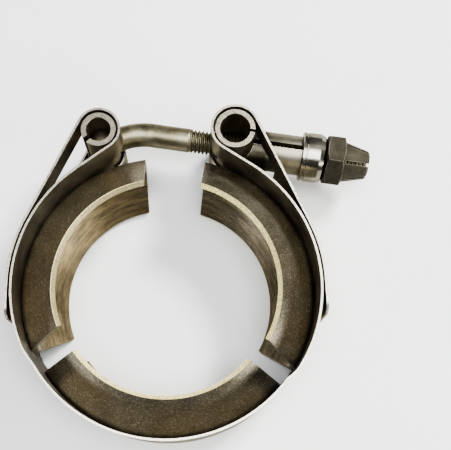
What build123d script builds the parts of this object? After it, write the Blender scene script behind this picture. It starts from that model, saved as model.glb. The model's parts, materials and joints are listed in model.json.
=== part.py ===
from build123d import *
from math import acos, atan2, cos, degrees, hypot, pi, radians, sin, sqrt, tan
import os

# Three-segment V-band coupling with a T-bolt. Millimetres.
# The axis of the clamped ring is Z, the ring's mid-plane is Z = 0, the T-bolt lies
# along +X above the ring at +Y, and the origin is the centre of the lower segment.

# ---- strap ----
BAND_WIDTH = 19.05
BAND_T = 0.45
BAND_R = 28.85                    # middle of the strap over a segment
LAP_GAP = 0.35                    # between the strap and the tail folded over it
LAP_R = BAND_R + BAND_T + LAP_GAP
TAIL_FROM = 178.0                 # from this angle the folded tail runs straight
TAIL_LENGTH = 6.5
TAIL_R = 2.6                      # rounding of the tail's corners
GAP_BEND_R = 7.0                  # small bend where the strap leaves a segment's end
GAP_BEND_AT = 2.9                 # degrees past the lip's end
WELD_R = 1.3                      # spot welds' shallow prints
WELD_DEPTH = 0.1
ARM_WELDS = (166, 182)
BOTTOM_WELDS = (226, 246.5, 267, 287.5, 308)

# ---- V-section segments ----
SHEET_T = 1.15
LIP_R = 20.56                     # inside of both lips about the segment's centre
LIP_Z = 8.75                      # middle of the sheared lip edge
LEG_LEAN = 46.0                   # legs lean in from the ring's axis by this
BEND_INSIDE_R = 2.25              # inner rounding between web and leg
END_TILT = 9.0                    # ends are sheared wider at the web than at the lip
LEFT_CENTRE = (-0.63, 0.18)
RIGHT_CENTRE = (0.915, 0.17)
BOTTOM_SPAN = (214.2, 317.7)      # lip ends, degrees about each segment's own centre
LEFT_SPAN = (99.5, 199.8)
RIGHT_SPAN = (-29.8, 72.8)

# ---- hinge lines where the strap flexes ----
FLEX_LEFT = 210.5
FLEX_RIGHT = 321.5

# ---- trunnions ----
BOLT_TRUNNION = (-12.85, 31.85)
NUT_TRUNNION = (14.0, 31.65)
BOLT_TRUNNION_R = (3.46, 2.38)    # outer and inner
NUT_TRUNNION_R = (3.98, 2.96)
TRUNNION_LENGTH = 18.6
BOLT_TRUNNION_SEAM = (219, 1.0)   # angle about the trunnion's axis, and width
NUT_TRUNNION_SEAM = (-9, 0.6)
NUT_TRUNNION_HOLE_R = 2.75
LOOP_R = {"left": 4.1, "right": 4.6}
BOLT_SLOT = 6.2                   # slot in each loop where the bolt passes
LEG_SLOT = {"left": 8.8, "right": 9.2}    # width of the slot in the outer leg of each loop
LEG_SLOT_REACH = {"left": 13.5, "right": 10.6}

# ---- T-bolt ----
BOLT_R = 2.413                    # No. 10-32 thread, major diameter 4.826
AXIS_SLOPE = -9.2
RISE = 28.9                       # direction in which the shank leaves its trunnion
BEND_R = 13.0
BOLT_END = 27.7                   # from the nut trunnion's axis
BOLT_CHAMFER = 0.45
HEAD_LENGTH = 9.0
HEAD_ROUND = 1.5
HEAD_GAP = 0.04                   # between the head and its trunnion's bore

# ---- sleeve, collar and nut, measured along the bolt from the nut trunnion's axis ----
SLEEVE_R = (3.97, 2.85)
SLEEVE_END = 15.1
SLEEVE_SLIT = 1.0
SADDLE_GAP = 0.12                 # between the coped end and the nut trunnion
COLLAR = (14.07, 19.0)
COLLAR_R = 4.94
COLLAR_BORE_R = 2.7
PRESS_GAP = 0.06                  # between the sleeve and the collar pressed over it
NUT_START = 19.2
HEX_LENGTH = 3.6
HEX_AF = 9.525
CROWN_LENGTH = 5.2
CROWN_R = (4.03, 2.85)
CROWN_SLOT = 0.65
THREAD_GAP = 0.04
NUT_TURN = 21.0                   # brings a corner and a slot of the nut towards the front

SIDES = {"left": 1.0, "right": -1.0}


def on_circle(centre, radius, angle):
    """The point of a circle at an angle in degrees."""
    a = radians(angle)
    return (centre[0] + radius * cos(a), centre[1] + radius * sin(a))


def heading(start, end):
    """The direction from one point to another, in degrees."""
    return degrees(atan2(end[1] - start[1], end[0] - start[0]))


def side_edges(arcs, shift, lead_in, lead_out):
    """One side of a strip that follows tangent arcs, with straight ends."""
    edges = []
    last = None
    for centre, radius, a0, a1 in arcs:
        turn = 1.0 if a1 > a0 else -1.0
        r = radius - shift * turn
        start, end = on_circle(centre, r, a0), on_circle(centre, r, a1)
        if last is None and lead_in:
            d = on_circle((0, 0), lead_in, a0 + 90 * turn)
            last = (start[0] - d[0], start[1] - d[1])
        if last is not None and hypot(start[0] - last[0], start[1] - last[1]) > 1e-5:
            edges.append(Line(last, start))
        edges.append(ThreePointArc(start, on_circle(centre, r, (a0 + a1) / 2), end))
        last = end
    if lead_out:
        d = on_circle((0, 0), lead_out, arcs[-1][3] + (90 if arcs[-1][3] > arcs[-1][2] else -90))
        edges.append(Line(last, (last[0] + d[0], last[1] + d[1])))
    return edges


def strip(arcs, thickness, width, lead_in=0.0, lead_out=0.0):
    """A strip of even thickness along tangent arcs (centre, radius, from, to), set on edge."""
    near = side_edges(arcs, thickness / 2, lead_in, lead_out)
    far = side_edges(arcs, -thickness / 2, lead_in, lead_out)
    caps = [Line(near[0] @ 0, far[0] @ 0), Line(near[-1] @ 1, far[-1] @ 1)]
    return extrude(make_face(near + far + caps), amount=width / 2, both=True)


# ---------------------------------------------------------------- strap

def flex_point(side):
    return on_circle((0, 0), BAND_R, FLEX_LEFT if side == "left" else FLEX_RIGHT)


def arm_numbers(side):
    """The arcs of one arm of the strap, worked out on the left and mirrored for the right."""
    sense = SIDES[side]
    centre = LEFT_CENTRE if side == "left" else (-RIGHT_CENTRE[0], RIGHT_CENTRE[1])
    hub = BOLT_TRUNNION if side == "left" else (-NUT_TRUNNION[0], NUT_TRUNNION[1])
    flex = flex_point(side)
    flex = (flex[0] * sense, flex[1])
    toward = heading(centre, hub)
    span = hypot(hub[0] - centre[0], hub[1] - centre[1])
    loop_r = LOOP_R[side]
    cross = degrees(acos((BAND_R + loop_r) / span))
    # the straight run in the gap between two segments meets the arm on a small bend
    bend_at = (LEFT_SPAN[1] if side == "left" else 180 - RIGHT_SPAN[0]) + GAP_BEND_AT
    bend = on_circle(centre, BAND_R - GAP_BEND_R, bend_at)
    reach = hypot(flex[0] - bend[0], flex[1] - bend[1])
    run_in = sqrt(reach**2 - GAP_BEND_R**2)
    bend_from = heading(bend, flex) % 360 - degrees(acos(GAP_BEND_R / reach))
    # the tail leaves the loop on the outer tangent and lies over the strap
    leave = toward + degrees(acos((LAP_R - loop_r) / span))
    arcs = [
        (bend, GAP_BEND_R, bend_from, bend_at),
        (centre, BAND_R, bend_at, toward + cross),
        (hub, loop_r, toward - 180 + cross, leave),
        (centre, LAP_R, leave, TAIL_FROM),
    ]
    return arcs, run_in, hub, centre


def band_arm(side):
    """One arm of the strap: along its segment, round its trunnion and back over itself."""
    arcs, run_in, hub, centre = arm_numbers(side)
    arm = strip(arcs, BAND_T, BAND_WIDTH, lead_in=run_in + 0.5, lead_out=TAIL_LENGTH)
    # the arm ends square on the line where it flexes
    flex = FLEX_LEFT if side == "left" else 180 - FLEX_RIGHT
    arm -= Rot(0, 0, flex) * Pos(BAND_R, 20, 0) * Box(4, 40, 30)
    tail = [e for e in arm.edges().filter_by(lambda e: abs(e.length - BAND_T) < 1e-3)
            if e.center().Y < -1 and e.center().X < centre[0] - BAND_R - 0.4]
    arm = fillet(tail, TAIL_R)
    # both slots as (distance, angle) outlines about the trunnion's axis
    leg_reach = LEG_SLOT_REACH[side]
    bolt_side = [(0, 0), (12, -62), (12, 12), (12, 84)]
    outer_leg = [(0, 0), (9, 112), (14, 180), (leg_reach, 221), (leg_reach, 229), (3, 232)]
    for outline, width in ((bolt_side, BOLT_SLOT), (outer_leg, LEG_SLOT[side])):
        points = [on_circle(hub, reach, angle) for reach, angle in outline]
        arm -= extrude(make_face(Polyline(points, close=True)), amount=width / 2, both=True)
    return arm if side == "left" else mirror(arm, about=Plane.YZ)


def band_bottom():
    """The middle third of the strap, under the lower segment."""
    return strip([((0, 0), BAND_R, FLEX_LEFT, FLEX_RIGHT)], BAND_T, BAND_WIDTH)


def weld_print(centre, radius, angle):
    """A spot weld's shallow print in the outer face of a strap that lies at a radius."""
    height = 0.7
    spot = on_circle(centre, radius + BAND_T / 2 - WELD_DEPTH + height / 2, angle)
    plane = Plane(origin=(*spot, 0), z_dir=(cos(radians(angle)), sin(radians(angle)), 0))
    return plane * Cylinder(WELD_R, height)


# ---------------------------------------------------------------- segments

def v_section():
    """The bent sheet in the plane of radius and axis: a web and two spread legs."""
    web_r = BAND_R - BAND_T / 2
    half = SHEET_T / 2
    lean = radians(LEG_LEAN)
    lip_r = LIP_R + half * cos(lean)
    corner_z = LIP_Z - (web_r - half - lip_r) / tan(lean)
    mitre = half * tan(lean / 2)
    outer = [(lip_r + half * cos(lean), LIP_Z + half * sin(lean)), (web_r, corner_z + mitre)]
    inner = [(web_r - SHEET_T, corner_z - mitre), (lip_r - half * cos(lean), LIP_Z - half * sin(lean))]
    lower = [(r, -z) for r, z in reversed(outer)]
    back = [(r, -z) for r, z in reversed(inner)]
    points = outer + lower + back + inner
    face = make_face(Polyline([(r, 0, z) for r, z in points], close=True))
    outer_corners = [v for v in face.vertices() if abs(v.X - web_r) < 1e-6]
    face = fillet(outer_corners, BEND_INSIDE_R + SHEET_T)
    inner_corners = [v for v in face.vertices() if abs(v.X - (web_r - SHEET_T)) < 1e-6]
    return fillet(inner_corners, BEND_INSIDE_R)


def end_cut(lip_angle, direction):
    """What lies past one sheared end of a segment. Direction is +1 past its upper angle."""
    lip = on_circle((0, 0), LIP_R, lip_angle)
    run = lip_angle + END_TILT * direction
    place = Location((lip[0], lip[1], 0), (0, 0, run))
    return place * Pos(0, 20 * direction, 0) * Box(60, 40, 40)


def segment(centre, span):
    """One V-section segment, about its own centre of curvature."""
    start, end = span[0] - 14, span[1] + 14
    body = Rot(0, 0, start) * revolve(v_section(), axis=Axis.Z, revolution_arc=end - start)
    body &= Rot(0, 0, (start + end) / 2) * Pos(30, 0, 0) * Box(60, 80, 40)
    body -= end_cut(span[0], -1)
    body -= end_cut(span[1], 1)
    return Pos(*centre, 0) * body


# ---------------------------------------------------------------- trunnions

def trunnion(centre, radii, seam, hole):
    """A tube rolled from sheet, with an open seam and a hole for the bolt."""
    seam_at, seam_width = seam
    tube = Cylinder(radii[0], TRUNNION_LENGTH) - Cylinder(radii[1], TRUNNION_LENGTH + 2)
    rims = [e for e in tube.edges() if abs(abs(e.center().Z) - TRUNNION_LENGTH / 2) < 1e-6]
    tube = chamfer(rims, 0.08)
    tube -= Rot(0, 0, seam_at) * Pos(radii[0], 0, 0) * Box(4, seam_width, TRUNNION_LENGTH + 2)
    return Pos(*centre, 0) * (tube - hole)


def cross_hole(angle, radius, start, length):
    """A hole across a trunnion, from a distance off its axis, at an angle about Z."""
    return Rot(0, 0, angle) * Pos(start + length / 2, 0, 0) * Rot(0, 90, 0) * Cylinder(radius, length)


# ---------------------------------------------------------------- bolt group

def axis_point(s):
    """A point of the threaded axis, from the nut trunnion's axis outwards."""
    return on_circle(NUT_TRUNNION, s, AXIS_SLOPE)


def bend_corner():
    """Where the rising shank and the threaded axis would meet."""
    tx, ty = BOLT_TRUNNION
    nx, ny = NUT_TRUNNION
    up, down = tan(radians(RISE)), tan(radians(AXIS_SLOPE))
    x = (ny - ty + up * tx - down * nx) / (up - down)
    return (x, ty + up * (x - tx))


def along_axis(s):
    """A plane across the threaded axis, facing outwards."""
    a = radians(AXIS_SLOPE)
    return Plane(origin=(*axis_point(s), 0), x_dir=(0, 0, 1), z_dir=(cos(a), sin(a), 0))


def turned(points):
    """A body of revolution about the threaded axis from (radius, distance) points."""
    face = make_face(Polyline([(r, 0, s) for r, s in points], close=True))
    return along_axis(0) * revolve(face, axis=Axis.Z)


def t_bolt():
    """The T-bolt: head inside its trunnion, a shank bent over, and the threaded length."""
    corner = bend_corner()
    tangent = BEND_R * tan(radians((RISE - AXIS_SLOPE) / 2))
    bend_start = on_circle(corner, -tangent, RISE)
    centre = on_circle(bend_start, -BEND_R, RISE + 90)
    start = on_circle(BOLT_TRUNNION, 0.6, RISE)
    a = radians(RISE)
    section = Plane(origin=(*start, 0), z_dir=(cos(a), sin(a), 0)) * Circle(BOLT_R)
    rising_length = hypot(bend_start[0] - start[0], bend_start[1] - start[1])
    rising = extrude(section, rising_length)
    across = Plane(origin=(*bend_start, 0), z_dir=(cos(a), sin(a), 0)) * Circle(BOLT_R)
    bend = revolve(across, axis=Axis((*centre, 0), (0, 0, -1)), revolution_arc=RISE - AXIS_SLOPE)
    corner_s = -hypot(corner[0] - NUT_TRUNNION[0], corner[1] - NUT_TRUNNION[1])
    straight = turned([
        (0, corner_s + tangent), (BOLT_R, corner_s + tangent), (BOLT_R, BOLT_END - BOLT_CHAMFER),
        (BOLT_R - BOLT_CHAMFER, BOLT_END), (0, BOLT_END),
    ])
    rod = rising + bend + straight
    hub = Pos(*BOLT_TRUNNION, 0)
    # the shank is cut off inside the trunnion's bore, where the head takes over
    head_r = BOLT_TRUNNION_R[1] - HEAD_GAP
    inside = hub * Cylinder(head_r - 0.01, HEAD_LENGTH + 5)
    shank = max((rod - inside).solids(), key=lambda piece: piece.volume)
    head = Cylinder(head_r, HEAD_LENGTH)
    head = fillet(head.edges().filter_by(GeomType.CIRCLE), HEAD_ROUND)
    return shank + hub * head


def spacer_sleeve():
    """A rolled spacer tube, coped to sit on the nut trunnion, with its seam facing up."""
    outer, inner = SLEEVE_R
    tube = turned([(inner, 0), (outer, 0), (outer, SLEEVE_END), (inner, SLEEVE_END)])
    tube -= Pos(*NUT_TRUNNION, 0) * Cylinder(NUT_TRUNNION_R[0] + SADDLE_GAP, 40)
    tube = max(tube.solids(), key=lambda piece: piece.center().X)
    return tube - along_axis(9) * Rot(0, 0, -3) * Pos(outer, 0, 0) * Box(4, SLEEVE_SLIT, 20)


def sleeve_collar():
    """The end collar: a rolled rim, a straight band and a coned shoulder towards the nut."""
    a, b = COLLAR
    r = COLLAR_R
    seat_r = SLEEVE_R[0] + PRESS_GAP
    seat_s = SLEEVE_END + 0.02
    return turned([
        (seat_r, a), (r - 0.2, a), (r, a + 0.2), (r, a + 0.6),
        (r - 0.22, a + 0.75), (r - 0.22, a + 0.95), (r, a + 1.1),
        (r, b - 1.3), (r - 0.35, b - 0.45), (r - 0.9, b), (COLLAR_BORE_R, b),
        (COLLAR_BORE_R, seat_s), (seat_r, seat_s),
    ])


def lock_nut():
    """A hexagon lock nut with a slotted, tapered crown."""
    s0, s1 = NUT_START, NUT_START + HEX_LENGTH
    s2 = s1 + CROWN_LENGTH
    bore = BOLT_R + THREAD_GAP
    turn = Rot(0, 0, NUT_TURN)
    hexagon = extrude(RegularPolygon(HEX_AF / 2, 6, major_radius=False), HEX_LENGTH)
    corner_r = HEX_AF / 2 / cos(pi / 6)
    rounding = turned([
        (0, s0), (corner_r - 0.75, s0), (corner_r, s0 + 0.42), (corner_r, s1 - 0.42),
        (corner_r - 0.9, s1), (0, s1),
    ])
    crown = turned([
        (0, s1 - 0.2), (CROWN_R[0], s1 - 0.2), (CROWN_R[0], s1 + 0.2),
        (CROWN_R[1], s2 - 0.35), (CROWN_R[1] - 0.3, s2), (0, s2),
    ])
    nut = (along_axis(s0) * turn * hexagon & rounding) + crown
    nut -= turned([(0, s0 - 1), (bore, s0 - 1), (bore, s2 + 1), (0, s2 + 1)])
    nut -= turned([(0, s0 - 0.01), (bore + 0.35, s0 - 0.01), (bore, s0 + 0.35), (0, s0 + 0.35)])
    slot_length = CROWN_LENGTH - 0.3
    for k in range(3):
        cut = Rot(0, 0, 60 * k) * Box(12, CROWN_SLOT, slot_length)
        nut -= along_axis(s2 - slot_length / 2) * turn * cut
    return nut


# ---------------------------------------------------------------- output

def build():
    left = band_arm("left")
    right = band_arm("right")
    bottom = band_bottom()
    for angle in ARM_WELDS:
        left -= weld_print(LEFT_CENTRE, LAP_R, angle)
        right -= weld_print(RIGHT_CENTRE, LAP_R, 180 - angle)
    for angle in BOTTOM_WELDS:
        bottom -= weld_print((0, 0), BAND_R, angle)
    bolt_hole = cross_hole(RISE, BOLT_R + 0.1, 0, 10)
    nut_hole = cross_hole(AXIS_SLOPE, NUT_TRUNNION_HOLE_R, -15, 30)
    return {
        "band_left": left,
        "band_right": right,
        "band_bottom": bottom,
        "retainer_left": segment(LEFT_CENTRE, LEFT_SPAN),
        "retainer_right": segment(RIGHT_CENTRE, RIGHT_SPAN),
        "retainer_bottom": segment((0, 0), BOTTOM_SPAN),
        "bolt_trunnion": trunnion(BOLT_TRUNNION, BOLT_TRUNNION_R, BOLT_TRUNNION_SEAM, bolt_hole),
        "nut_trunnion": trunnion(NUT_TRUNNION, NUT_TRUNNION_R, NUT_TRUNNION_SEAM, nut_hole),
        "t_bolt": t_bolt(),
        "spacer_sleeve": spacer_sleeve(),
        "sleeve_collar": sleeve_collar(),
        "lock_nut": lock_nut(),
    }


os.makedirs("parts", exist_ok=True)
for name, shape in build().items():
    export_step(shape, f"parts/{name}.step")
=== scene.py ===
import json
from math import atan2, cos, pi, radians, sin, tan

import bpy
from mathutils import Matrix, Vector


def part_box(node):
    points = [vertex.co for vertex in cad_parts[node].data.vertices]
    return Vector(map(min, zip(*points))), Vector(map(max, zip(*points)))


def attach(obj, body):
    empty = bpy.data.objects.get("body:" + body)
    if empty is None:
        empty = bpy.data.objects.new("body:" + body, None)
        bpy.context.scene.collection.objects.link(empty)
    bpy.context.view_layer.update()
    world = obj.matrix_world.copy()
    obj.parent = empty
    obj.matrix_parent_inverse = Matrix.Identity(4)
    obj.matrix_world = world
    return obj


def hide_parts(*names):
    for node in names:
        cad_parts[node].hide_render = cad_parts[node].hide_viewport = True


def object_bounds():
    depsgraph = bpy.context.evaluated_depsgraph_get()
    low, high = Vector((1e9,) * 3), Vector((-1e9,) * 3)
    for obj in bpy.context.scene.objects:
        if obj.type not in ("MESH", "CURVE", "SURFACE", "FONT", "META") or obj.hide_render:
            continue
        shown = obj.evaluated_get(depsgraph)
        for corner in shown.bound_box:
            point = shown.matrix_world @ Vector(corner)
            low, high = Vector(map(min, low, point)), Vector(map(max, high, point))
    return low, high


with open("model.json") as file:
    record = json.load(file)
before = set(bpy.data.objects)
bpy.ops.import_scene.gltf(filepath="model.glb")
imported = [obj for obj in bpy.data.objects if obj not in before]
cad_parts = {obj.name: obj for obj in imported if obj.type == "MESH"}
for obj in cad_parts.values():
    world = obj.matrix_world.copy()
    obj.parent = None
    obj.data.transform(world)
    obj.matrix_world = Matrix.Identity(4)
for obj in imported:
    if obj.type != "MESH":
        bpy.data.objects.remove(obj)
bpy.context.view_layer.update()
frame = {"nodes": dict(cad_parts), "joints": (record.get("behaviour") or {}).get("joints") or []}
NODES = frame["nodes"]

# The clamp lies flat: Z is the ring's axis and the bolt runs along +X. Metres.
MM = 0.001
JOINT_AT = {joint["name"]: Vector(joint["pos_m"]) for joint in frame["joints"] if joint.get("pos_m")}

# ---- ring ----
HOOP_R = 28.0 * MM                                 # radius at which lengths along the hoop are measured
LEFT_CENTRE = (-0.63 * MM, 0.18 * MM)              # the segments' own centres
RIGHT_CENTRE = (0.915 * MM, 0.17 * MM)
BOTTOM_CENTRE = (0.0, 0.0)
FLEX_LINES = (JOINT_AT["left_arm_flex"], JOINT_AT["right_arm_flex"])   # middles of the two lower gaps

# ---- T-bolt, from the left trunnion's axis to the nut ----
HUB_LEFT = JOINT_AT["bolt_swing"]
HUB_RIGHT = JOINT_AT["nut_hub_turn"]
AXIS_SLOPE = radians(-9.2)                         # direction of the straight, threaded end
RISE = radians(28.9)                               # direction in which the shank leaves its trunnion
BOLT_R = 2.413 * MM
SHANK_R = BOLT_R - 0.02 * MM
BOLT_BEND_R = 13.0 * MM
BOLT_CHAMFER = 0.55 * MM
PITCH = 25.4 / 32 * MM
THREAD_FROM = 7.5 * MM                             # plain shank between the bend and the thread
THREAD_RUN_OUT = 1.2 * PITCH
THREAD_DEPTH = 0.47 * MM
HEAD_R = 2.32 * MM
HEAD_HALF = 4.5 * MM
HEAD_DOME = 1.5 * MM
AROUND = 56                                        # points in each ring of the bolt's mesh
SLEEVE_R = 4.0 * MM                                # radius at which lengths round the bolt are measured

# ---- marks of use, and painted shade and glints ----
REAR_LEG = (-1.0 * MM, -4.5 * MM)                  # heights between which the rear legs take painted shade
GLINT_FROM = 8.0 * MM                               # the painted golden glint on the rear legs is strongest on the left
GLINT_GOLD = (0.40, 0.30, 0.145)
SLEEVE_WELL_SHADE = (7.6 * MM, 6.4 * MM)                # from the right hub: painted shade before, none beyond
GAP_SHADE_REACH = (6.5 * MM, 3.5 * MM)                 # from a gap's middle: painted shade within, none beyond
GAP_SHADE_RAGGED = 9.0 * MM
BURR = 0.1 * MM

# ------------------------------------------------------------------ materials

SHEEN = (0.6, 0.57, 0.5)                           # tint of bare steel seen at a glancing angle


def toned(colour, share):
    """A colour made darker or lighter."""
    return tuple(min(c * share, 1.0) for c in colour)


class Shader:
    """Adds nodes to one material, left to right."""

    def __init__(self, name):
        self.material = bpy.data.materials.new(name)
        self.material.use_nodes = True
        self.tree = self.material.node_tree
        self.bsdf = self.tree.nodes["Principled BSDF"]
        self.coords = self.node("ShaderNodeTexCoord").outputs["Object"]

    def node(self, kind, **settings):
        made = self.tree.nodes.new(kind)
        for key, value in settings.items():
            setattr(made, key, value)
        return made

    def put(self, socket, value):
        """Links a socket to another, or gives it a plain value."""
        if isinstance(value, bpy.types.NodeSocket):
            self.tree.links.new(value, socket)
        elif isinstance(value, tuple) and len(value) == 3 and socket.type == "RGBA":
            socket.default_value = (*value, 1)
        else:
            socket.default_value = value

    def math(self, operation, a, b=0.0, c=0.0):
        made = self.node("ShaderNodeMath", operation=operation)
        for socket, value in zip(made.inputs, (a, b, c)):
            self.put(socket, value)
        return made.outputs[0]

    def times(self, a, b):
        return self.math("MULTIPLY", a, b)

    def plus(self, a, b):
        return self.math("ADD", a, b)

    def span(self, a, b):
        """The length of a line with the two sides a and b."""
        return self.math("SQRT", self.plus(self.times(a, a), self.times(b, b)))

    def vector(self, x, y, z):
        made = self.node("ShaderNodeCombineXYZ")
        for socket, value in zip(made.inputs, (x, y, z)):
            self.put(socket, value)
        return made.outputs[0]

    def split(self, vector):
        made = self.node("ShaderNodeSeparateXYZ")
        self.put(made.inputs[0], vector)
        return made.outputs

    def noise(self, scale, detail, rough, vector=None):
        """Noise from 0 to 1 with so many features a millimetre along each axis."""
        place = self.node("ShaderNodeMapping")
        place.inputs["Scale"].default_value = [s / MM for s in scale]
        self.put(place.inputs["Vector"], self.coords if vector is None else vector)
        made = self.node("ShaderNodeTexNoise")
        made.inputs["Scale"].default_value = 1.0
        made.inputs["Detail"].default_value = detail
        made.inputs["Roughness"].default_value = rough
        self.put(made.inputs["Vector"], place.outputs[0])
        return made.outputs["Fac"]

    def spread(self, value, low, high, to_low=0.0, to_high=1.0):
        """Moves smoothly from to_low to to_high as a value goes from low to high."""
        made = self.node("ShaderNodeMapRange", interpolation_type="SMOOTHSTEP")
        for socket, v in zip(made.inputs, (value, low, high, to_low, to_high)):
            self.put(socket, v)
        return made.outputs[0]

    def mix(self, factor, a, b):
        made = self.node("ShaderNodeMix", data_type="RGBA")
        self.put(made.inputs[0], factor)
        self.put(made.inputs[6], a)
        self.put(made.inputs[7], b)
        return made.outputs[2]

    def bump(self, height, strength, distance_mm, normal=None):
        made = self.node("ShaderNodeBump")
        made.inputs["Strength"].default_value = strength
        made.inputs["Distance"].default_value = distance_mm * MM
        self.put(made.inputs["Height"], height)
        if normal is not None:
            self.put(made.inputs["Normal"], normal)
        return made.outputs[0]

    def ring_coords(self):
        """Coordinates that follow the ring: along the hoop, along its axis, radius."""
        x, y, z = self.split(self.coords)
        angle = self.math("ARCTAN2", x, self.times(y, -1.0))
        return self.vector(self.times(angle, HOOP_R), z, self.span(x, y))

    def axis_coords(self):
        """Coordinates that follow the bolt: along it, round it, distance from it."""
        x, y, z = self.split(self.coords)
        x = self.plus(x, -HUB_RIGHT.x)
        y = self.plus(y, -HUB_RIGHT.y)
        c, s = cos(AXIS_SLOPE), sin(AXIS_SLOPE)
        along = self.plus(self.times(x, c), self.times(y, s))
        off = self.plus(self.times(y, c), self.times(x, -s))
        around = self.times(self.math("ARCTAN2", z, off), SLEEVE_R)
        return self.vector(along, around, self.span(off, z))

    def outward(self):
        """How far a face looks away from the ring's axis: about +-0.03 on the strap's two faces."""
        x, y, _ = self.split(self.coords)
        nx, ny, _ = self.split(self.node("ShaderNodeNewGeometry").outputs["Normal"])
        return self.plus(self.times(x, nx), self.times(y, ny))

    def edges(self, radius_mm):
        """1 on outer edges, 0 on flat faces, from the difference a rounded normal makes."""
        bevel = self.node("ShaderNodeBevel", samples=4)
        bevel.inputs["Radius"].default_value = radius_mm * MM
        geometry = self.node("ShaderNodeNewGeometry")
        dot = self.node("ShaderNodeVectorMath", operation="DOT_PRODUCT")
        self.put(dot.inputs[0], bevel.outputs[0])
        self.put(dot.inputs[1], geometry.outputs["Normal"])
        return self.spread(dot.outputs["Value"], 0.995, 0.86)

    def finish(self, colour, roughness, normal=None, metallic=1.0, grazing=SHEEN):
        self.put(self.bsdf.inputs["Base Color"], colour)
        self.put(self.bsdf.inputs["Roughness"], roughness)
        self.put(self.bsdf.inputs["Metallic"], metallic)
        self.put(self.bsdf.inputs["Specular Tint"], grazing)
        if normal is not None:
            self.put(self.bsdf.inputs["Normal"], normal)
        return self.material


def paint_rear_leg_shade_and_glint(s, base, colour, deep, painted_shade):
    """Painted shade on the rear legs, broken by bright streaks along the hoop, with a painted golden
    glint strongest on the left.
    """
    x, _, z = s.split(s.coords)
    rear = s.spread(z, *REAR_LEG)
    glint_share = s.spread(x, GLINT_FROM, -GLINT_FROM, 0.3, 0.85)
    colour = s.mix(s.times(rear, glint_share), colour, GLINT_GOLD)
    glint_streaks = s.noise((0.14, 1.2, 1.2), 5.0, 0.8, base)
    return s.mix(s.times(rear, s.spread(glint_streaks, 0.68, 0.36, 0.15, painted_shade)), colour, deep)


def in_lower_gaps(s, base, blotch):
    """1 on the strap in the two ragged-edged gaps between the segments, where no segment covers it."""
    hoop = s.split(base)[0]
    gaps = [HOOP_R * atan2(line.x, -line.y) for line in FLEX_LINES]
    left, right = (s.math("ABSOLUTE", s.plus(hoop, -gap)) for gap in gaps)
    nearest = s.math("MINIMUM", left, right)
    return s.spread(s.math("MULTIPLY_ADD", s.plus(blotch, -0.5), GAP_SHADE_RAGGED, nearest), *GAP_SHADE_REACH)


def worked_steel(name, dark, light, tint, rough, grain, speckle, follow="object", peel=0.15,
                 blotches=1.0, drifts=0.6, worn_and_lit_colour=None, edge=0.06, metallic=1.0, grazing=SHEEN,
                 painted_glints=0.0, rear_shade=0.0, sleeve_well_shade=0.0, gap_shade_and_dulling=0.0):
    """Steel with rolling marks along the sheet, blotches of tint, pits, and pale edges that are partly
    wear and partly a painted highlight.

    grain is how fine the marks are along each axis of the coordinates named by follow; speckle,
    peel, blotches and drifts say how strong the pits, the skin's waves and the tints are.
    """
    s = Shader(name)
    base = {"object": lambda: s.coords, "ring": s.ring_coords, "axis": s.axis_coords}[follow]()
    marks = s.noise(grain, 5.0, 0.6, base)
    blotch = s.noise((0.22, 0.22, 0.22), 5.0, 0.6)
    drift = s.noise((0.09, 0.09, 0.13), 3.0, 0.5)
    pits = s.noise((2.7, 2.7, 2.7), 3.0, 0.75)
    skin = s.noise((1.6, 1.6, 1.6), 4.0, 0.7)
    deep = toned(dark, 0.45)
    colour = s.mix(s.spread(blotch, 0.36, 0.64, 0.5 - 0.5 * blotches, 0.5 + 0.5 * blotches), dark, light)
    colour = s.mix(s.times(s.spread(drift, 0.42, 0.66), drifts), colour, tint)
    colour = s.mix(s.times(s.spread(marks, 0.38, 0.7), 0.35), colour, light)
    colour = s.mix(s.times(s.spread(pits, 0.56, 0.7), speckle), colour, deep)
    roughness = s.spread(s.plus(s.times(marks, 0.5), s.times(blotch, 0.5)), 0.3, 0.7, *rough)
    in_gap = 0.0
    # painted glints: bright flecks in the colour
    if painted_glints:
        glint = s.noise((2.9, 2.9, 2.9), 2.0, 0.7)
        colour = s.mix(s.times(s.spread(glint, 0.52, 0.66), painted_glints), colour, toned(light, 2.0))
    # painted shade and a painted golden glint on the rear legs
    if rear_shade:
        colour = paint_rear_leg_shade_and_glint(s, base, colour, deep, rear_shade)
    if sleeve_well_shade:
        # painted shade: the sleeve's first stretch, down in the loop's well, is darkened to stand for
        # the strap's shadow
        painted_shade = s.times(s.spread(s.split(base)[0], *SLEEVE_WELL_SHADE), sleeve_well_shade)
        colour = s.mix(painted_shade, colour, toned(dark, 0.25))
    if gap_shade_and_dulling:
        # painted shade on the strap's inner face in the gaps, standing in for the shadowed floor it
        # reflects, made rougher and less metallic there too; no pale edges there
        in_gap = in_lower_gaps(s, base, blotch)
        gap_shade_mask = s.times(in_gap, s.spread(s.outward(), 0.0, -10.0 * MM, 0.0, gap_shade_and_dulling))
        colour = s.mix(gap_shade_mask, colour, toned(dark, 0.2))
        roughness = s.math("MAXIMUM", roughness, s.times(gap_shade_mask, 0.8))
        metallic = s.math("MULTIPLY_ADD", gap_shade_mask, -0.95, metallic)
        s.bsdf.inputs["Specular IOR Level"].default_value = 0.15
    # pale edges: partly real wear, partly a painted highlight along them
    if worn_and_lit_colour is not None:
        wear_and_highlight_mask = s.times(s.edges(edge), s.spread(blotch, 0.25, 0.55, 0.35, 1.0))
        colour = s.mix(s.times(wear_and_highlight_mask, s.math("SUBTRACT", 1.0, in_gap)), colour, worn_and_lit_colour)
    normal = s.bump(marks, 0.35, 0.006)
    normal = s.bump(pits, 0.35, 0.02, normal)
    normal = s.bump(skin, peel, 0.05, normal)
    return s.finish(colour, roughness, normal, metallic, grazing)


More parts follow.
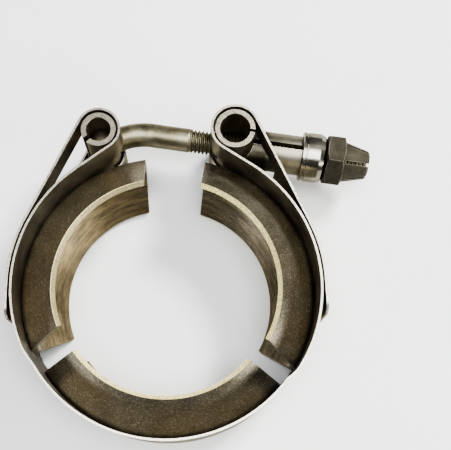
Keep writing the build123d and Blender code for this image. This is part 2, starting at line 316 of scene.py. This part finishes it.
def sheared_edge(name, dark, light, metallic=1.0, dark_rim=0.0, burr_up_to=0.0):
    """The granular face left by shearing sheet: bright, torn and sparkling.

    dark_rim is the width in mm of the darker rim along its edges; nearer to the mid-plane than
    burr_up_to, in mm, the face is a dull burr.
    """
    s = Shader(name)
    grit = s.noise((4.5, 4.5, 4.5), 3.0, 0.75)
    torn = s.noise((1.3, 1.3, 2.2), 3.0, 0.6)
    colour = s.mix(s.spread(grit, 0.34, 0.62), dark, light)
    colour = s.mix(s.spread(torn, 0.5, 0.75, 0.0, 0.5), colour, dark)
    if burr_up_to:
        height = s.math("ABSOLUTE", s.split(s.coords)[2])
        burr = s.spread(height, burr_up_to * MM, burr_up_to * MM + BURR, 0.7, 0.0)
        colour = s.mix(burr, colour, toned(dark, 0.5))
    if dark_rim:
        colour = s.mix(s.edges(dark_rim), colour, toned(dark, 0.3))
    return s.finish(colour, s.spread(grit, 0.3, 0.7, 0.24, 0.46), s.bump(grit, 0.6, 0.05), metallic)


MATERIALS = {
    "strap": worked_steel(
        "strap", (0.24, 0.218, 0.178), (0.43, 0.40, 0.335), (0.29, 0.25, 0.19),
        rough=(0.3, 0.46), grain=(0.12, 14.0, 3.0), speckle=0.35, follow="ring", peel=0.08,
        blotches=0.5, worn_and_lit_colour=(0.80, 0.77, 0.67), edge=0.05, grazing=(0.26, 0.24, 0.19), gap_shade_and_dulling=0.95),
    "strap_edge": sheared_edge("strap_edge", (0.22, 0.20, 0.165), (0.60, 0.565, 0.47), dark_rim=0.1),
    "segment": worked_steel(
        "segment", (0.185, 0.168, 0.132), (0.285, 0.265, 0.216), (0.265, 0.23, 0.165),
        rough=(0.27, 0.46), grain=(0.5, 7.0, 7.0), speckle=0.9, follow="ring", peel=1.0,
        blotches=0.35, drifts=0.5, worn_and_lit_colour=(0.62, 0.55, 0.38), painted_glints=0.7, rear_shade=0.85),
    "segment_edge": sheared_edge(
        "segment_edge", (0.26, 0.20, 0.10), (1.0, 0.88, 0.42), metallic=0.15),
    "left_edge": sheared_edge(
        "left_edge", (0.24, 0.19, 0.11), (1.0, 0.90, 0.50), metallic=0.2, burr_up_to=9.0),
    "trunnion": worked_steel(
        "trunnion", (0.14, 0.12, 0.09), (0.24, 0.21, 0.165), (0.18, 0.15, 0.105),
        rough=(0.38, 0.55), grain=(3.0, 3.0, 0.4), speckle=0.5),
    "trunnion_end": sheared_edge("trunnion_end", (0.17, 0.155, 0.12), (0.38, 0.352, 0.275)),
    "bolt": worked_steel(
        "bolt", (0.11, 0.098, 0.065), (0.25, 0.231, 0.162), (0.18, 0.153, 0.095),
        rough=(0.34, 0.5), grain=(6.0, 1.2, 1.0), speckle=0.5, follow="axis", peel=0.3,
        worn_and_lit_colour=(0.70, 0.66, 0.54)),
    # a darker copy of the bolt's colours: painted shade for the head down inside the left trunnion
    "shaded_bolt_head": worked_steel(
        "shaded_bolt_head", (0.075, 0.062, 0.046), (0.16, 0.136, 0.10), (0.11, 0.085, 0.06),
        rough=(0.45, 0.6), grain=(1.5, 1.5, 1.5), speckle=0.5, peel=0.3),
    "sleeve": worked_steel(
        "sleeve", (0.12, 0.112, 0.085), (0.235, 0.224, 0.178), (0.165, 0.15, 0.107),
        rough=(0.3, 0.46), grain=(0.3, 8.0, 1.0), speckle=0.4, follow="axis",
        worn_and_lit_colour=(0.80, 0.77, 0.64), sleeve_well_shade=0.9),
    "collar": worked_steel(
        "collar", (0.15, 0.141, 0.115), (0.28, 0.267, 0.222), (0.20, 0.184, 0.142),
        rough=(0.14, 0.25), grain=(12.0, 0.2, 1.0), speckle=0.4, follow="axis", peel=0.12,
        worn_and_lit_colour=(0.80, 0.78, 0.70), edge=0.05),
    "nut": worked_steel(
        "nut", (0.019, 0.017, 0.012), (0.052, 0.047, 0.034), (0.040, 0.033, 0.021),
        rough=(0.6, 0.78), grain=(1.2, 1.2, 1.2), speckle=0.9, follow="axis", peel=0.5,
        worn_and_lit_colour=(0.46, 0.43, 0.33), edge=0.1, metallic=0.35, grazing=(0.42, 0.39, 0.32)),
}


def paint(node, base, other=None, test=None):
    """Gives a CAD node its material, and a second one on the faces the test picks."""
    mesh = NODES[node].data
    mesh.materials.clear()
    mesh.materials.append(MATERIALS[base])
    if other is None:
        return
    mesh.materials.append(MATERIALS[other])
    for polygon in mesh.polygons:
        polygon.material_index = 1 if test(polygon.center, polygon.normal) else 0


def soften(node, width_mm):
    """A small rounding on a CAD node's sharp edges."""
    made = NODES[node].modifiers.new("edge rounding", "BEVEL")
    made.width = width_mm * MM
    made.segments = 2
    made.limit_method = "ANGLE"
    made.angle_limit = radians(32)


def lip_test(centre):
    """Picks the sheared faces along both lips of a segment."""
    def test(point, normal):
        out = Vector((point.x - centre[0], point.y - centre[1], 0)).normalized()
        side = 1.0 if point.z > 0 else -1.0
        return normal.dot(out) < -0.4 and normal.z * side > 0.4
    return test


for name, lip, centre in (("retainer_left", "left_edge", LEFT_CENTRE),
                          ("retainer_right", "segment_edge", RIGHT_CENTRE),
                          ("retainer_bottom", "segment_edge", BOTTOM_CENTRE)):
    paint(name, "segment", lip, lip_test(centre))
    soften(name, 0.07)
for name in ("band_left", "band_right", "band_bottom"):
    paint(name, "strap", "strap_edge", lambda point, normal: abs(normal.z) > 0.7)
for name in ("bolt_trunnion", "nut_trunnion"):
    paint(name, "trunnion", "trunnion_end", lambda point, normal: abs(normal.z) > 0.5)
    soften(name, 0.06)
for name, slot, width in (("spacer_sleeve", "sleeve", 0.12),
                          ("sleeve_collar", "collar", 0.06),
                          ("lock_nut", "nut", 0.12)):
    paint(name, slot)
    soften(name, width)

# ------------------------------------------------------------------ the T-bolt with its thread


def add_mesh(name, verts, faces, material):
    """A new smooth-shaded object."""
    mesh = bpy.data.meshes.new(name)
    mesh.from_pydata(verts, [], faces)
    mesh.materials.append(material)
    for polygon in mesh.polygons:
        polygon.use_smooth = True
    made = bpy.data.objects.new(name, mesh)
    bpy.context.scene.collection.objects.link(made)
    return made


def heading(angle):
    """The unit vector that points in a direction in the plane of the ring."""
    return Vector((cos(angle), sin(angle), 0))


def left_of(direction):
    return Vector((-direction.y, direction.x, 0))


def bolt_line():
    """The bolt's middle line as (point, direction, length so far), and where it turns straight."""
    along, rise = heading(AXIS_SLOPE), heading(RISE)
    gap = HUB_RIGHT - HUB_LEFT
    reach = (gap.x * along.y - gap.y * along.x) / (rise.x * along.y - rise.y * along.x)
    corner = HUB_LEFT + rise * reach
    turn = RISE - AXIS_SLOPE
    tangent = BOLT_BEND_R * tan(turn / 2)
    bend_start, bend_end = corner - rise * tangent, corner + along * tangent
    centre = bend_start - left_of(rise) * BOLT_BEND_R
    bolt_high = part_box("t_bolt")[1]
    straight = (bolt_high.x - BOLT_R * abs(along.y) - bend_end.x) / along.x
    rise_length = (bend_start - HUB_LEFT).length
    bend_length = BOLT_BEND_R * turn
    straight_at = rise_length + bend_length
    rise_steps, bend_steps, straight_steps = 9, 25, int(straight / (PITCH / 14))
    points = []
    for i in range(rise_steps):
        share = i / rise_steps
        points.append((HUB_LEFT.lerp(bend_start, share), rise, rise_length * share))
    for i in range(bend_steps):
        share = i / bend_steps
        direction = heading(RISE - turn * share)
        place = centre + left_of(direction) * BOLT_BEND_R
        points.append((place, direction, rise_length + bend_length * share))
    for i in range(straight_steps + 1):
        run = straight * i / straight_steps
        points.append((bend_end + along * run, along, straight_at + run))
    return points, straight_at


def thread_depth(turns):
    """0 at the crest and 1 at the root of a rolled thread."""
    t = abs((turns % 1.0) * 2 - 1)
    t = min(max((t - 0.1) / 0.72, 0.0), 1.0)
    return t * t * (3 - 2 * t) * 0.35 + t * 0.65


def tube(rings, end, start=None):
    """Points and faces of a tube through rings of points, closed at its end and, if given, its start."""
    verts = [point for ring in rings for point in ring]
    after = [(k + 1) % AROUND for k in range(AROUND)]
    faces = []
    for low in range(0, len(verts) - AROUND, AROUND):
        high = low + AROUND
        faces += [(low + k, low + after[k], high + after[k], high + k) for k in range(AROUND)]
    last = len(verts) - AROUND
    faces += [(last + k, last + after[k], len(verts)) for k in range(AROUND)]
    verts.append(end)
    if start is not None:
        faces += [(after[k], k, len(verts)) for k in range(AROUND)]
        verts.append(start)
    return verts, faces


def shank():
    """The bent shank, with a helical thread from THREAD_FROM past the bend."""
    points, straight_at = bolt_line()
    total = points[-1][2]
    rings = []
    for centre, direction, s in points:
        grown = min(max((s - straight_at - THREAD_FROM) / THREAD_RUN_OUT, 0.0), 1.0)
        chamfered = BOLT_R - BOLT_CHAMFER + (total - s)
        ring = []
        for k in range(AROUND):
            a = 2 * pi * k / AROUND
            r = SHANK_R - THREAD_DEPTH * thread_depth(s / PITCH - k / AROUND) * grown
            r = min(r, chamfered)
            ring.append(centre + left_of(direction) * (r * cos(a)) + Vector((0, 0, r * sin(a))))
        rings.append(ring)
    return tube(rings, end=points[-1][0])


def head():
    """The upset head inside the trunnion, domed at both ends."""
    dome = [t * pi / 16 for t in range(1, 9)]
    rows = [(HEAD_R * sin(t), HEAD_HALF - HEAD_DOME * (1 - cos(t))) for t in dome]
    rows = [(r, -z) for r, z in rows] + rows[::-1]
    turns = [2 * pi * k / AROUND for k in range(AROUND)]
    rings = [[HUB_LEFT + heading(a) * r + Vector((0, 0, z)) for a in turns] for r, z in rows]
    pole = Vector((0, 0, HEAD_HALF))
    return tube(rings, end=HUB_LEFT + pole, start=HUB_LEFT - pole)


def make_bolt():
    verts, faces = shank()
    head_verts, head_faces = head()
    first = len(verts)
    faces += [tuple(first + v for v in face) for face in head_faces]
    made = add_mesh("threaded_t_bolt", verts + head_verts, faces, MATERIALS["bolt"])
    made.data.materials.append(MATERIALS["shaded_bolt_head"])
    for polygon in made.data.polygons:
        polygon.material_index = 1 if polygon.vertices[0] >= first else 0
    return made


bolt = make_bolt()
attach(bolt, "bolt")
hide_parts("t_bolt")

# ------------------------------------------------------------------ floor, light, camera


def make_floor():
    """A pale, matt floor just under the clamp."""
    s = Shader("floor")
    tone = s.noise((0.02, 0.02, 0.02), 3.0, 0.5)
    material = s.finish(s.mix(tone, (0.74, 0.75, 0.75), (0.80, 0.80, 0.80)), 0.8, metallic=0.0)
    half, z = 1.2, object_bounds()[0].z - 0.05 * MM
    corners = [(-half, -half, z), (half, -half, z), (half, half, z), (-half, half, z)]
    add_mesh("floor", corners, [(0, 1, 2, 3)], material)


def softbox(name, place, size, power, colour=(1, 1, 1)):
    """A rectangular light that looks at the origin."""
    light = bpy.data.lights.new(name, "AREA")
    light.shape = "RECTANGLE"
    light.size, light.size_y = size
    light.energy = power
    light.color = colour
    made = bpy.data.objects.new(name, light)
    made.location = place
    made.rotation_euler = (-Vector(place)).to_track_quat("-Z", "Y").to_euler()
    bpy.context.scene.collection.objects.link(made)


def make_world():
    world = bpy.data.worlds.new("world")
    world.use_nodes = True
    background = world.node_tree.nodes["Background"]
    background.inputs["Color"].default_value = (0.55, 0.56, 0.58, 1)
    background.inputs["Strength"].default_value = 0.32
    bpy.context.scene.world = world


def make_camera():
    camera = bpy.data.cameras.new("camera")
    camera.lens = 62.4
    camera.sensor_width = 36.0
    camera.shift_x, camera.shift_y = 0.05, 0.28
    camera.clip_start, camera.clip_end = 0.01, 10.0
    viewer = bpy.data.objects.new("camera", camera)
    viewer.location = (0.00513, -0.03294, 0.15481)
    viewer.rotation_euler = (radians(8.038), radians(-0.518), radians(-1.068))
    bpy.context.scene.collection.objects.link(viewer)
    bpy.context.scene.camera = viewer


make_floor()
softbox("ceiling", (0.02, -0.06, 0.62), (0.42, 0.40), 6.1, (0.98, 0.99, 1.0))
softbox("key", (0.34, 0.30, 0.46), (0.16, 0.14), 7.0, (1.0, 0.985, 0.96))
softbox("window", (0.46, -0.22, 0.17), (0.26, 0.16), 1.9, (1.0, 0.97, 0.90))
softbox("low_fill", (-0.44, -0.24, 0.16), (0.2, 0.1), 0.7)
make_world()
make_camera()
bpy.context.scene.view_settings.view_transform = "AgX"
bpy.context.scene.view_settings.look = "AgX - Medium High Contrast"
